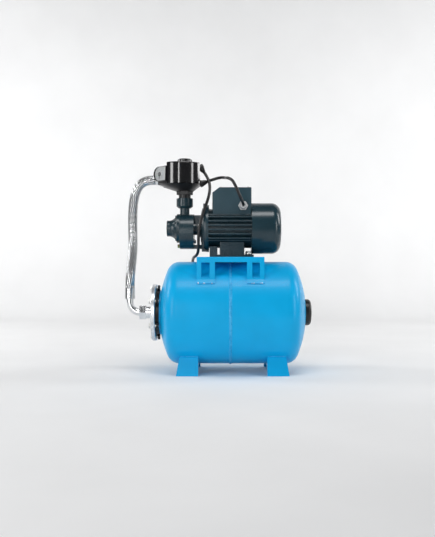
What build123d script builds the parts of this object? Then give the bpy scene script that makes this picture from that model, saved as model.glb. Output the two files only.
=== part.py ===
"""Pressure water set: a small peripheral pump on a horizontal membrane tank, with an electronic pump
controller, a braided hose to the tank and a mains lead. Millimetres, +Z up, +X from the pump to the motor
fan, origin on the floor below the middle of the tank."""

import math
import os

from build123d import *

os.makedirs("parts", exist_ok=True)

# ---- driving dimensions ----
# pressure tank
TANK_R = 140.0
TANK_Z = 163.0
TANK_CYLINDER_HALF = 146.0
TANK_WALL = 2.0
WELD_X = -6.0
CROWN_R = 303.0
KNUCKLE_R = 34.0
NECK_R = 61.5
FLANGE_R = 78.0
FLANGE_FACE_X = -220.0
FLANGE_THICK = 11.0
FLANGE_BOLT_CIRCLE_R = 66.0
LIP_THICK = 3.0
# feet and pump platform
SHEET = 3.0
FOOT_INNER_X = 92.0
FOOT_OUTER_X = 140.0
FOOT_SPLAY = 10.0
FOOT_BOLT_X = 121.0
FOOT_BOLT_Y = 82.0
FOOT_BOLT_R = 4.5
PLATFORM_Z = 315.0
PLATFORM_HALF_Y = 108.5
PLATFORM_X = (-95.0, 83.0)
LEG_LEFT_X = (-95.0, -47.0)
LEG_RIGHT_X = (37.0, 83.0)
# pump and motor
SHAFT_Z = 395.0
SHAFT_R = 7.5
STUB_R = 6.0
ROTOR_SHAFT_R = 11.0
FIT = 0.03
SUCTION_X = -181.0
COVER_X = -153.5
CASING_X = -145.0
PLATE_X = -112.0
SHIELD_X = -65.0
MOTOR_END_X = 51.5
BARREL_R = 54.0
BARREL_BORE_R = 49.0
FIN_R = 66.0
FIN_PITCH = 11.55
FIN_THICK = 5.2
CASING_R = 48.0
CASING_Z = 386.0
CHAMBER_R = 33.0
IMPELLER_R = 28.0
FAN_COVER_R = 70.0
FAN_COVER_END_X = 132.0
G1_R = 16.6
G1_TAP_R = 15.15
# terminal box
BOX_X = (-55.0, 51.4)
BOX_HALF_Y = 45.0
BOX_Z = (432.0, 469.0, 505.0)
BOX_WALL = 2.5
BOX_GLAND_X = 28.6
BOX_GLAND_Z = 454.5
# discharge and controller
PIPE_X = -132.0
COLLAR_TOP_Z = 478.0
CASE_Z = (498.0, 515.0, 573.0)
CASE_WALL = 2.5
OUTLET_Y = 8.0
OUTLET_Z = 530.0
GAUGE_CENTRE = (-202.0, -36.0, 541.5)
GAUGE_R = 20.5
GAUGE_THICK = 14.0
# hose and leads
HOSE_D = 26.0
FERRULE_R = 14.0
ELBOW_X = -283.4
CABLE_D = 8.0
NUT_R = 18.5 / math.cos(math.radians(30))
COIL_CENTRE = (-104.0, 332.0)
COIL_R = 44.0

TANK_AXIS = Axis((0, 0, TANK_Z), (1, 0, 0))
SHAFT_AXIS = Axis((0, 0, SHAFT_Z), (1, 0, 0))
PIPE_AXIS = Axis((PIPE_X, 0, 0), (0, 0, 1))


# ---- shared shapes, each added to the part that is open when it is called ----
def across(x, z, y=0.0):
    """The plane square to X at x, through y, z; local x runs along +Y and local y along +Z."""
    return Plane(origin=(x, y, z), x_dir=(0, 1, 0), z_dir=(1, 0, 0))


def turn(outline, axis, mode=Mode.ADD):
    """A closed outline of (x, z) points turned about an axis."""
    with BuildSketch(Plane.XZ) as profile:
        with BuildLine():
            Polyline(*outline, close=True)
        make_face()
    revolve(profile.sketch, axis=axis, mode=mode)


def disc(x0, x1, radius, z, y=0.0, hole=0.0, mode=Mode.ADD):
    """A round bar or ring along X from x0 to x1."""
    with BuildSketch(across(x0, z, y)) as face:
        Circle(radius)
        if hole:
            Circle(hole, mode=Mode.SUBTRACT)
    extrude(face.sketch, amount=x1 - x0, mode=mode)


def post(z0, z1, radius, x, y, hole=0.0, mode=Mode.ADD):
    """A round bar or ring along Z from z0 to z1."""
    with BuildSketch(Plane.XY.offset(z0)) as face:
        with Locations((x, y)):
            Circle(radius)
            if hole:
                Circle(hole, mode=Mode.SUBTRACT)
    extrude(face.sketch, amount=z1 - z0, mode=mode)


def block(x, y, z, mode=Mode.ADD):
    """A box between the two values of x, of y and of z."""
    low, high = (min(x), min(y), min(z)), (max(x), max(y), max(z))
    with BuildSketch(Plane.XY.offset(low[2])) as face:
        with Locations(((low[0] + high[0]) / 2, (low[1] + high[1]) / 2)):
            Rectangle(high[0] - low[0], high[1] - low[1])
    extrude(face.sketch, amount=high[2] - low[2], mode=mode)


def hex_bolt(plane, head_r, head_height, shank_r, length):
    """A hexagon bolt whose head stands on the plane's upper side and whose shank goes down from it."""
    with BuildSketch(plane) as head:
        RegularPolygon(head_r, 6)
    extrude(head.sketch, amount=head_height)
    with BuildSketch(plane) as shank:
        Circle(shank_r)
    extrude(shank.sketch, amount=-length)


def corner_radii(route):
    """The largest arc that each corner's two runs leave room for."""
    radii = []
    for before, here, after in zip(route, route[1:], route[2:]):
        first = Vector(*here) - Vector(*before)
        second = Vector(*after) - Vector(*here)
        half_turn = math.radians(first.get_angle(second)) / 2
        radii.append(0.45 * min(first.length, second.length) / math.tan(half_turn))
    return radii


def tube(route, diameter):
    """A tube of straight runs joined by tangent arcs."""
    with BuildLine() as path:
        FilletPolyline(*route, radius=corner_radii(route))
    start = Plane(origin=route[0], z_dir=Vector(*route[1]) - Vector(*route[0]))
    with BuildSketch(start) as section:
        Circle(diameter / 2)
    sweep(section.sketch, path=path.line)
    return sum(edge.length for edge in path.edges())


def report(name, part, route, diameter, length):
    """Print a tube's arcs, and its volume beside its section times its length."""
    radii = ", ".join(f"{r:.0f}" for r in corner_radii(route))
    ideal = math.pi * diameter**2 / 4 * length
    print(f"{name}: radii {radii}; length {length:.0f}; volume {part.volume:.0f} for {ideal:.0f}")


# ---- pressure tank ----
def dished_half(side, end_r):
    """Half of the tank's shell: a cylinder and a dished end that stops at end_r from the axis."""
    def arc_points(inward):
        crown_x = TANK_CYLINDER_HALF - math.sqrt(
            (CROWN_R - KNUCKLE_R) ** 2 - (TANK_R - KNUCKLE_R) ** 2
        )
        crown = CROWN_R - inward
        knuckle = KNUCKLE_R - inward
        lean = math.atan2(TANK_R - KNUCKLE_R, TANK_CYLINDER_HALF - crown_x)
        start = (TANK_CYLINDER_HALF, TANK_R - inward)
        half = (math.pi / 2 + lean) / 2
        knuckle_mid = (
            TANK_CYLINDER_HALF + knuckle * math.cos(half),
            TANK_R - KNUCKLE_R + knuckle * math.sin(half),
        )
        joint = (crown_x + crown * math.cos(lean), crown * math.sin(lean))
        last = math.asin(end_r / crown)
        middle = (lean + last) / 2
        crown_mid = (crown_x + crown * math.cos(middle), crown * math.sin(middle))
        end = (crown_x + crown * math.cos(last), end_r)
        return [(side * x, TANK_Z + r) for x, r in (start, knuckle_mid, joint, crown_mid, end)]

    outer = arc_points(0.0)
    inner = arc_points(TANK_WALL)
    with BuildSketch(Plane.XZ) as profile:
        with BuildLine():
            Line((WELD_X, TANK_Z + TANK_R), outer[0])
            ThreePointArc(*outer[0:3])
            ThreePointArc(*outer[2:5])
            Line(outer[4], inner[4])
            ThreePointArc(*inner[4:1:-1])
            ThreePointArc(*inner[2::-1])
            Line(inner[0], (WELD_X, TANK_Z + TANK_R - TANK_WALL))
            Line((WELD_X, TANK_Z + TANK_R - TANK_WALL), (WELD_X, TANK_Z + TANK_R))
        make_face()
    revolve(profile.sketch, axis=TANK_AXIS)


FLANGE_BACK_X = FLANGE_FACE_X + FLANGE_THICK
RING_X = FLANGE_BACK_X + LIP_THICK
VALVE_R = 4.2

with BuildPart() as tank_left_shell:
    dished_half(-1, NECK_R - 1.5)
    disc(RING_X, -194.2, NECK_R, TANK_Z, hole=NECK_R - TANK_WALL)
    with BuildSketch(across(RING_X, TANK_Z)):
        Circle(NECK_R)
        with PolarLocations(FLANGE_BOLT_CIRCLE_R, 6, start_angle=90):
            Circle(9)
        Circle(50, mode=Mode.SUBTRACT)
        with PolarLocations(FLANGE_BOLT_CIRCLE_R, 6, start_angle=90):
            Circle(4, mode=Mode.SUBTRACT)
    extrude(amount=6)
tank_left_shell.part.label = "tank_left_shell"
export_step(tank_left_shell.part, "parts/tank_left_shell.step")

with BuildPart() as tank_right_shell:
    dished_half(1, VALVE_R)
tank_right_shell.part.label = "tank_right_shell"
export_step(tank_right_shell.part, "parts/tank_right_shell.step")

with BuildPart() as tank_weld_bead:
    with BuildSketch(Plane.XZ):
        with BuildLine():
            ThreePointArc(
                (WELD_X - 4, TANK_Z + TANK_R), (WELD_X, TANK_Z + TANK_R + 2), (WELD_X + 4, TANK_Z + TANK_R)
            )
            Line((WELD_X + 4, TANK_Z + TANK_R), (WELD_X - 4, TANK_Z + TANK_R))
        make_face()
    revolve(axis=TANK_AXIS)
tank_weld_bead.part.label = "tank_weld_bead"
export_step(tank_weld_bead.part, "parts/tank_weld_bead.step")

with BuildPart() as membrane:
    turn(
        [
            (x, TANK_Z + r)
            for x, r in [
                (FLANGE_BACK_X, 38), (FLANGE_BACK_X, 62), (RING_X, 62), (RING_X, 49), (-190, 49),
                (-170, 82), (-140, 108), (110, 110), (148, 84), (166, 30), (168, 0), (165, 0),
                (163, 29), (145.5, 82), (108.5, 107), (-139, 105), (-167.5, 79.5), (-187, 46), (RING_X, 46),
                (RING_X, 38),
            ]
        ],
        TANK_AXIS,
    )
membrane.part.label = "membrane"
export_step(membrane.part, "parts/membrane.step")

with BuildPart() as tank_flange:
    turn(
        [
            (x, TANK_Z + r)
            for x, r in [
                (FLANGE_FACE_X - 6, G1_R), (FLANGE_FACE_X - 6, 22.5), (FLANGE_FACE_X - 4.5, 24),
                (FLANGE_FACE_X, 25), (FLANGE_FACE_X, 46), (FLANGE_FACE_X + 2, 50), (FLANGE_FACE_X + 2, 56),
                (FLANGE_FACE_X, 59), (FLANGE_FACE_X, FLANGE_R - 1.5), (FLANGE_FACE_X + 1.5, FLANGE_R),
                (FLANGE_BACK_X - 1, FLANGE_R), (FLANGE_BACK_X, FLANGE_R - 1), (FLANGE_BACK_X, G1_R),
            ]
        ],
        TANK_AXIS,
    )
    with BuildSketch(across(FLANGE_FACE_X, TANK_Z)):
        with PolarLocations(FLANGE_BOLT_CIRCLE_R, 6, start_angle=90):
            Circle(4)
    extrude(amount=FLANGE_THICK, mode=Mode.SUBTRACT)
tank_flange.part.label = "tank_flange"
export_step(tank_flange.part, "parts/tank_flange.step")

with BuildPart() as flange_bolts:
    for turned in range(90, 450, 60):
        y = FLANGE_BOLT_CIRCLE_R * math.cos(math.radians(turned))
        z = FLANGE_BOLT_CIRCLE_R * math.sin(math.radians(turned))
        seat = Plane(origin=(FLANGE_FACE_X, y, TANK_Z + z), x_dir=(0, 1, 0), z_dir=(-1, 0, 0))
        hex_bolt(seat, 7.5, 5.5, 4, 20.5)
flange_bolts.part.label = "flange_bolts"
export_step(flange_bolts.part, "parts/flange_bolts.step")

with BuildPart() as flange_nipple:
    disc(-242, -212, G1_R, TANK_Z, hole=12.5)
flange_nipple.part.label = "flange_nipple"
export_step(flange_nipple.part, "parts/flange_nipple.step")

with BuildPart() as air_valve_stem:
    turn(
        [
            (x, TANK_Z + r)
            for x, r in [
                (194, 1.6), (194, VALVE_R), (201.8, VALVE_R), (201.8, 10), (206, 10), (206, 5),
                (207, 3.9), (211.5, 3.9), (211.5, 1.6),
            ]
        ],
        TANK_AXIS,
    )
air_valve_stem.part.label = "air_valve_stem"
export_step(air_valve_stem.part, "parts/air_valve_stem.step")

with BuildPart() as air_valve_cover:
    with BuildSketch(Plane.XZ):
        with BuildLine():
            Polyline((200.4, TANK_Z + 33.5), (200.4, TANK_Z + 36), (207, TANK_Z + 36))
            ThreePointArc((207, TANK_Z + 36), (213.4, TANK_Z + 33.4), (216, TANK_Z + 27))
            Polyline((216, TANK_Z + 27), (216, TANK_Z), (213.5, TANK_Z), (213.5, TANK_Z + 10.1))
            Polyline((213.5, TANK_Z + 10.1), (203, TANK_Z + 10.1), (203, TANK_Z + 12), (213.5, TANK_Z + 12))
            Polyline((213.5, TANK_Z + 12), (213.5, TANK_Z + 27))
            ThreePointArc((213.5, TANK_Z + 27), (211.6, TANK_Z + 31.6), (207, TANK_Z + 33.5))
            Line((207, TANK_Z + 33.5), (200.4, TANK_Z + 33.5))
        make_face()
    revolve(axis=TANK_AXIS)
air_valve_cover.part.label = "air_valve_cover"
export_step(air_valve_cover.part, "parts/air_valve_cover.step")


# ---- feet and platform, bent from sheet and welded to the tank ----
def tank_strip(x, low_angle, high_angle, thick=SHEET):
    """A strip that lies on the tank between two angles, measured in degrees from +Y up."""
    with BuildSketch(across(min(x), TANK_Z)) as arc:
        Circle(TANK_R + thick)
        Circle(TANK_R, mode=Mode.SUBTRACT)
        reach = 2 * TANK_R
        with BuildLine():
            Polyline(
                (0, 0),
                (reach * math.cos(math.radians(low_angle)), reach * math.sin(math.radians(low_angle))),
                (reach * math.cos(math.radians(high_angle)), reach * math.sin(math.radians(high_angle))),
                close=True,
            )
        make_face(mode=Mode.INTERSECT)
    extrude(arc.sketch, amount=max(x) - min(x))


def foot_leg(side, way):
    """One leg of a foot: a front sheet that leans out to the floor, with a flange down each side."""
    inner, outer = side * FOOT_INNER_X, side * FOOT_OUTER_X
    with BuildSketch(Plane.YZ) as profile:
        with BuildLine():
            Polyline(
                (way * 84, 50.5), (way * 97, 0), (way * 93, 0), (way * 40, 27), (way * 60, 42), close=True
            )
        make_face()
    with BuildSketch(Plane.YZ) as inside:
        with BuildLine():
            Polyline(
                (way * 80.4, 52.5), (way * 94.4, -2), (way * 60, -2), (way * 30, 20), (way * 40, 60),
                close=True,
            )
        make_face()
    wide = extrude(profile.sketch, amount=side * 200, mode=Mode.PRIVATE)
    narrow = extrude(inside.sketch, amount=side * 200, mode=Mode.PRIVATE)
    with BuildSketch(Plane.XZ.offset(-150)) as front:
        with BuildLine():
            Polyline(
                (inner - side * 0.5, -5), (inner, 60), (outer, 60), (outer + side * (FOOT_SPLAY + 1), -5),
                close=True,
            )
        make_face()
    with BuildSketch(Plane.XZ.offset(-150)) as room:
        with BuildLine():
            Polyline(
                (inner + side * (SHEET - 0.5), -5), (inner + side * SHEET, 60), (outer - side * SHEET, 60),
                (outer + side * (FOOT_SPLAY + 1 - SHEET), -5), close=True,
            )
        make_face()
    whole = extrude(front.sketch, amount=300, mode=Mode.PRIVATE)
    hollow = extrude(room.sketch, amount=300, mode=Mode.PRIVATE)
    add(wide & whole)
    add(narrow & hollow, mode=Mode.SUBTRACT)
    block((side * 100, side * 142), (way * 70, way * 95), (0, SHEET))
    post(-1, SHEET + 1, FOOT_BOLT_R, side * FOOT_BOLT_X, way * FOOT_BOLT_Y, mode=Mode.SUBTRACT)


def foot(side):
    """A foot: two legs joined by a saddle strip under the tank."""
    for way in (-1, 1):
        foot_leg(side, way)
    tank_strip((side * FOOT_INNER_X, side * FOOT_OUTER_X), -127, -53)
    disc(-300, 300, TANK_R, TANK_Z, mode=Mode.SUBTRACT)


with BuildPart() as left_foot:
    foot(-1)
left_foot.part.label = "left_foot"
export_step(left_foot.part, "parts/left_foot.step")

with BuildPart() as right_foot:
    foot(1)
right_foot.part.label = "right_foot"
export_step(right_foot.part, "parts/right_foot.step")

LIP_Z = 301.0
LEG_FOOT_Z = 252.0
WINDOW_Z = (259.5, 300.0)
LEFT_WINDOW_X = (-83.0, -61.0)
RIGHT_WINDOW_X = (51.0, 71.0)

with BuildPart() as pump_platform:
    block(PLATFORM_X, (-PLATFORM_HALF_Y, PLATFORM_HALF_Y), (PLATFORM_Z - SHEET, PLATFORM_Z))
    for way in (-1, 1):
        face_y = (way * PLATFORM_HALF_Y, way * (PLATFORM_HALF_Y - SHEET))
        block(PLATFORM_X, face_y, (LIP_Z, PLATFORM_Z))
        for leg, window in ((LEG_LEFT_X, LEFT_WINDOW_X), (LEG_RIGHT_X, RIGHT_WINDOW_X)):
            block(leg, face_y, (LEG_FOOT_Z, LIP_Z))
            block(window, (way * 90, way * 120), WINDOW_Z, mode=Mode.SUBTRACT)
    for leg in (LEG_LEFT_X, LEG_RIGHT_X):
        tank_strip(leg, 35.5, 41)
        tank_strip(leg, 139, 144.5)
    disc(-300, 300, TANK_R, TANK_Z, mode=Mode.SUBTRACT)
    for x in (-50, 44):
        for y in (-38, 38):
            post(PLATFORM_Z - 5, PLATFORM_Z + 1, 4, x, y, mode=Mode.SUBTRACT)
    fillet(
        pump_platform.edges().filter_by(Axis.X).group_by(Axis.Z)[-1].sort_by(Axis.Y)[0::3],
        radius=2.5,
    )
pump_platform.part.label = "pump_platform"
export_step(pump_platform.part, "parts/pump_platform.step")


# ---- pump head ----
COVER_BOLT_R = 35.3
COVER_BOLT_ANGLES = (60, 120, 240, 300)
SPIGOT_X = -136.0

with BuildPart() as suction_cover:
    with BuildSketch(Plane.XZ):
        with BuildLine():
            Polyline(
                (SUCTION_X, SHAFT_Z + G1_TAP_R), (SUCTION_X, SHAFT_Z + 21), (SUCTION_X + 1, SHAFT_Z + 22),
                (SUCTION_X + 6, SHAFT_Z + 22),
            )
            ThreePointArc(
                (SUCTION_X + 6, SHAFT_Z + 22), (SUCTION_X + 18, SHAFT_Z + 24.5), (COVER_X, SHAFT_Z + 31)
            )
            Polyline(
                (COVER_X, SHAFT_Z + 31), (COVER_X, SHAFT_Z + 39), (COVER_X + 1, SHAFT_Z + 40),
                (CASING_X, SHAFT_Z + 40), (CASING_X, SHAFT_Z + 24), (SPIGOT_X, SHAFT_Z + 24),
                (SPIGOT_X, SHAFT_Z + 10), (SUCTION_X + 16, SHAFT_Z + 10),
                (SUCTION_X + 16, SHAFT_Z + G1_TAP_R), (SUCTION_X, SHAFT_Z + G1_TAP_R),
            )
        make_face()
    revolve(axis=SHAFT_AXIS)
    for turned in range(30, 390, 60):
        web_plane = Plane(
            origin=(0, 0, SHAFT_Z),
            x_dir=(1, 0, 0),
            z_dir=(0, math.sin(math.radians(turned)), -math.cos(math.radians(turned))),
        )
        with BuildSketch(web_plane):
            with BuildLine():
                Line((SUCTION_X + 3, 16), (SUCTION_X + 3, 21.8))
                ThreePointArc((SUCTION_X + 3, 21.8), (SUCTION_X + 20, 27.2), (COVER_X, 39))
                Polyline((COVER_X, 39), (COVER_X + 2, 39), (COVER_X + 2, 16), (SUCTION_X + 3, 16))
            make_face()
        extrude(amount=2, both=True)
    with BuildSketch(across(COVER_X - 1, SHAFT_Z)):
        for turned in COVER_BOLT_ANGLES:
            with PolarLocations(COVER_BOLT_R, 1, start_angle=turned):
                Circle(3)
    extrude(amount=10, mode=Mode.SUBTRACT)
suction_cover.part.label = "suction_cover"
export_step(suction_cover.part, "parts/suction_cover.step")

with BuildPart() as cover_bolts:
    for turned in COVER_BOLT_ANGLES:
        y = COVER_BOLT_R * math.cos(math.radians(turned))
        z = COVER_BOLT_R * math.sin(math.radians(turned))
        seat = Plane(origin=(COVER_X, y, SHAFT_Z + z), x_dir=(0, 1, 0), z_dir=(-1, 0, 0))
        hex_bolt(seat, 4.4, 3.5, 3, 12)
cover_bolts.part.label = "cover_bolts"
export_step(cover_bolts.part, "parts/cover_bolts.step")

PLUG_Z = 346.0
PLUG_Y = -8.0

with BuildPart() as pump_casing:
    with BuildSketch(across(CASING_X, CASING_Z)):
        Circle(CASING_R)
    extrude(amount=PLATE_X - CASING_X)
    fillet(pump_casing.edges().group_by(Axis.X)[0], radius=1.5)
    turn(
        [
            (PIPE_X, 425), (PIPE_X + 13, 425), (PIPE_X + 13, 450), (PIPE_X + 17, 451), (PIPE_X + 22.8, 456),
            (PIPE_X + 22.8, COLLAR_TOP_Z - 1), (PIPE_X + 22, COLLAR_TOP_Z), (PIPE_X, COLLAR_TOP_Z),
        ],
        PIPE_AXIS,
    )
    disc(CASING_X, CASING_X + 6, 24, SHAFT_Z, mode=Mode.SUBTRACT)
    disc(CASING_X + 6, PLATE_X, CHAMBER_R, SHAFT_Z, mode=Mode.SUBTRACT)
    post(425, COLLAR_TOP_Z, 9, PIPE_X, 0, mode=Mode.SUBTRACT)
    post(COLLAR_TOP_Z - 16, COLLAR_TOP_Z + 1, G1_R, PIPE_X, 0, mode=Mode.SUBTRACT)
    with BuildSketch(across(CASING_X - 1, SHAFT_Z)):
        for turned in COVER_BOLT_ANGLES:
            with PolarLocations(COVER_BOLT_R, 1, start_angle=turned):
                Circle(3)
    extrude(amount=4.5, mode=Mode.SUBTRACT)
    disc(CASING_X - 1, CASING_X + 8, 3.5, PLUG_Z, y=PLUG_Y, mode=Mode.SUBTRACT)
pump_casing.part.label = "pump_casing"
export_step(pump_casing.part, "parts/pump_casing.step")

with BuildPart() as drain_plug:
    hex_bolt(
        Plane(origin=(CASING_X, PLUG_Y, PLUG_Z), x_dir=(0, 1, 0), z_dir=(-1, 0, 0)), 5.6, 6, 3.5, 8
    )
drain_plug.part.label = "drain_plug"
export_step(drain_plug.part, "parts/drain_plug.step")

IMPELLER_X = (-134.5, -121.5)
BLADES = 28

with BuildPart() as impeller:
    disc(*IMPELLER_X, IMPELLER_R, SHAFT_Z, hole=STUB_R)
    disc(IMPELLER_X[0] - 0.1, IMPELLER_X[0] + 4, 22, SHAFT_Z, hole=11, mode=Mode.SUBTRACT)
    disc(IMPELLER_X[1] - 4, IMPELLER_X[1] + 0.1, 22, SHAFT_Z, hole=11, mode=Mode.SUBTRACT)
    for rim_x in (IMPELLER_X[0], IMPELLER_X[1] - 5):
        with BuildSketch(across(rim_x, SHAFT_Z)):
            with PolarLocations(IMPELLER_R, BLADES):
                Rectangle(10, 3.2)
        extrude(amount=5, mode=Mode.SUBTRACT)
impeller.part.label = "impeller"
export_step(impeller.part, "parts/impeller.step")

SEAL_BORE_R = 12.0
BELL_BOLT = (48.5, 34.5)
CASING_BOLT_R = 41.0
CASING_BOLT_ANGLES = (20, 160, 220, 320)

with BuildPart() as lantern_bracket:
    with BuildSketch(across(PLATE_X, CASING_Z)):
        Circle(CASING_R)
    extrude(amount=6)
    disc(PLATE_X - 8, PLATE_X, CHAMBER_R, SHAFT_Z)
    disc(PLATE_X, -96, 18, SHAFT_Z)
    turn(
        [
            (x, SHAFT_Z + r)
            for x, r in [
                (SHIELD_X, 17.5), (SHIELD_X, 24), (-80, 24), (-80, 42), (-75, 53), (-71, 58), (SHIELD_X, 60),
                (SHIELD_X, FIN_R - 1), (-72, FIN_R - 1), (-78, 62), (-83.5, 55), (-86.5, 44), (-88, 25),
                (-92, 22), (-92, 9), (-84, 9), (-84, 17.5),
            ]
        ],
        SHAFT_AXIS,
    )
    block((PLATE_X + 2, -83), (-15, 15), (SHAFT_Z + 12, SHAFT_Z + 36))
    block((PLATE_X + 2, -76), (-17, 17), (338.5, 349.5))
    block((-84, SHIELD_X), (-26, 26), (331, 352))
    for y in (-BELL_BOLT[0], BELL_BOLT[0]):
        for z in (-BELL_BOLT[1], BELL_BOLT[1]):
            disc(-72, SHIELD_X, 6, SHAFT_Z + z, y=y)
            disc(-70, SHIELD_X, 2.5, SHAFT_Z + z, y=y, mode=Mode.SUBTRACT)
    disc(-88, -60, 17.5, SHAFT_Z, mode=Mode.SUBTRACT)
    disc(-92, -84, 24, SHAFT_Z, hole=9)
    disc(PLATE_X - 9, -95, SEAL_BORE_R, SHAFT_Z, mode=Mode.SUBTRACT)
    disc(-99, -96, 17, SHAFT_Z, hole=9)
    for turned in CASING_BOLT_ANGLES:
        y = CASING_BOLT_R * math.cos(math.radians(turned))
        z = CASING_BOLT_R * math.sin(math.radians(turned))
        disc(PLATE_X - 1, PLATE_X + 7, 3, CASING_Z + z, y=y, mode=Mode.SUBTRACT)
    post(453, 464, 5, -76, 0)
lantern_bracket.part.label = "lantern_bracket"
export_step(lantern_bracket.part, "parts/lantern_bracket.step")

with BuildPart() as casing_bolts:
    for turned in CASING_BOLT_ANGLES:
        y = CASING_BOLT_R * math.cos(math.radians(turned))
        z = CASING_BOLT_R * math.sin(math.radians(turned))
        seat = Plane(origin=(PLATE_X + 6, y, CASING_Z + z), x_dir=(0, 1, 0), z_dir=(1, 0, 0))
        hex_bolt(seat, 5.6, 4, 3, 6)
casing_bolts.part.label = "casing_bolts"
export_step(casing_bolts.part, "parts/casing_bolts.step")

with BuildPart() as seal_seat:
    disc(-112.5, -99, SEAL_BORE_R, SHAFT_Z, hole=8.5)
seal_seat.part.label = "seal_seat"
export_step(seal_seat.part, "parts/seal_seat.step")

with BuildPart() as seal_ring:
    disc(-119.5, -112.8, 10.5, SHAFT_Z, hole=STUB_R)
seal_ring.part.label = "seal_ring"
export_step(seal_ring.part, "parts/seal_ring.step")


# ---- motor ----
FRONT_BEARING_X = (-84.0, -73.0)
REAR_BEARING_X = (40.0, 51.0)
BEARING_R = 17.5
CORE_X = (-40.0, 20.0)
SHIELD_SPIGOT_X = 46.0
REAR_FLANGE_X = 57.0

with BuildPart() as shaft:
    turn(
        [
            (x, SHAFT_Z + r)
            for x, r in [
                (-138, 0), (-138, STUB_R), (-92, STUB_R), (-92, SHAFT_R), (-66, SHAFT_R),
                (-66, ROTOR_SHAFT_R), (32, ROTOR_SHAFT_R), (32, SHAFT_R), (54, SHAFT_R), (54, STUB_R),
                (103, STUB_R), (103, 0),
            ]
        ],
        SHAFT_AXIS,
    )
shaft.part.label = "shaft"
export_step(shaft.part, "parts/shaft.step")

with BuildPart() as motor_bearings:
    for near_x, far_x in (FRONT_BEARING_X, REAR_BEARING_X):
        disc(near_x, far_x, BEARING_R, SHAFT_Z, hole=14.8)
        disc(near_x, far_x, 10.4, SHAFT_Z, hole=SHAFT_R + FIT)
        for ball in range(8):
            angle = math.radians(45 * ball)
            place = ((near_x + far_x) / 2, 12.6 * math.cos(angle), SHAFT_Z + 12.6 * math.sin(angle))
            with Locations(place):
                Sphere(2.15)
motor_bearings.part.label = "motor_bearings"
export_step(motor_bearings.part, "parts/motor_bearings.step")

with BuildPart() as motor_housing:
    disc(SHIELD_X, MOTOR_END_X, BARREL_R, SHAFT_Z)
    with BuildSketch(across(SHIELD_X, SHAFT_Z)):
        for level in (-2.5, -1.5, -0.5, 0.5, 1.5, 2.5):
            height = level * FIN_PITCH
            with Locations((0, height)):
                Rectangle(2 * math.sqrt(FIN_R**2 - height**2), FIN_THICK)
    extrude(amount=MOTOR_END_X - SHIELD_X)
    fillet(
        [
            edge
            for edge in motor_housing.edges().filter_by(Axis.X)
            if abs(edge.center().Y) > BARREL_R + 2
        ],
        radius=2.0,
    )
    block((-52, 50), (-30, 30), (SHAFT_Z + 40, SHAFT_Z + 56))
    disc(SHIELD_X, MOTOR_END_X, BARREL_BORE_R, SHAFT_Z, mode=Mode.SUBTRACT)
motor_housing.part.label = "motor_housing"
export_step(motor_housing.part, "parts/motor_housing.step")

with BuildPart() as stator_core:
    disc(*CORE_X, BARREL_BORE_R, SHAFT_Z, hole=32)
    with BuildSketch(across(CORE_X[0], SHAFT_Z)):
        with PolarLocations(40, 24):
            SlotOverall(11, 3.4)
        with PolarLocations(34.5, 24):
            Rectangle(7, 1.6)
    extrude(amount=CORE_X[1] - CORE_X[0], mode=Mode.SUBTRACT)
stator_core.part.label = "stator_core"
export_step(stator_core.part, "parts/stator_core.step")

with BuildPart() as stator_windings:
    for near_x, far_x in ((-56, CORE_X[0]), (CORE_X[1], 36)):
        disc(near_x, far_x, 47, SHAFT_Z, hole=33.5)
    fillet(stator_windings.edges().group_by(Axis.X)[0], radius=5)
    fillet(stator_windings.edges().group_by(Axis.X)[-1], radius=5)
stator_windings.part.label = "stator_windings"
export_step(stator_windings.part, "parts/stator_windings.step")

with BuildPart() as rotor_core:
    disc(*CORE_X, 31.6, SHAFT_Z, hole=ROTOR_SHAFT_R)
    disc(CORE_X[0] - 7, CORE_X[0], 31, SHAFT_Z, hole=22)
    disc(CORE_X[1], CORE_X[1] + 7, 31, SHAFT_Z, hole=22)
rotor_core.part.label = "rotor_core"
export_step(rotor_core.part, "parts/rotor_core.step")

with BuildPart() as rear_shield:
    disc(SHIELD_SPIGOT_X, MOTOR_END_X, BARREL_BORE_R, SHAFT_Z)
    disc(MOTOR_END_X, REAR_FLANGE_X, FAN_COVER_R - 2.2, SHAFT_Z)
    disc(39, MOTOR_END_X, 22.5, SHAFT_Z)
    disc(38, 51, BEARING_R, SHAFT_Z, mode=Mode.SUBTRACT)
    disc(SHIELD_SPIGOT_X, MOTOR_END_X - 1, 46, SHAFT_Z, hole=26, mode=Mode.SUBTRACT)
    disc(50, REAR_FLANGE_X + 1, 9, SHAFT_Z, mode=Mode.SUBTRACT)
    for y in (-BELL_BOLT[0], BELL_BOLT[0]):
        for z in (-BELL_BOLT[1], BELL_BOLT[1]):
            disc(MOTOR_END_X - 1, REAR_FLANGE_X + 1, 2.5, SHAFT_Z + z, y=y, mode=Mode.SUBTRACT)
rear_shield.part.label = "rear_shield"
export_step(rear_shield.part, "parts/rear_shield.step")

with BuildPart() as tie_rods:
    for y in (-BELL_BOLT[0], BELL_BOLT[0]):
        for z in (-BELL_BOLT[1], BELL_BOLT[1]):
            seat = Plane(origin=(REAR_FLANGE_X, y, SHAFT_Z + z), x_dir=(0, 1, 0), z_dir=(1, 0, 0))
            hex_bolt(seat, 4.2, 3.5, 2.5, REAR_FLANGE_X + 70)
tie_rods.part.label = "tie_rods"
export_step(tie_rods.part, "parts/tie_rods.step")

FAN_X = (66.0, 96.0)
FAN_BLADES = 9

with BuildPart() as fan:
    disc(FAN_X[0], FAN_X[1] + 4, 12, SHAFT_Z, hole=STUB_R)
    disc(FAN_X[0], FAN_X[0] + 2.5, 40, SHAFT_Z, hole=STUB_R)
    with BuildSketch(across(FAN_X[0], SHAFT_Z)):
        with PolarLocations(34.5, FAN_BLADES):
            Rectangle(47, 2.2)
    extrude(amount=FAN_X[1] - FAN_X[0])
fan.part.label = "fan"
export_step(fan.part, "parts/fan.step")

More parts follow.
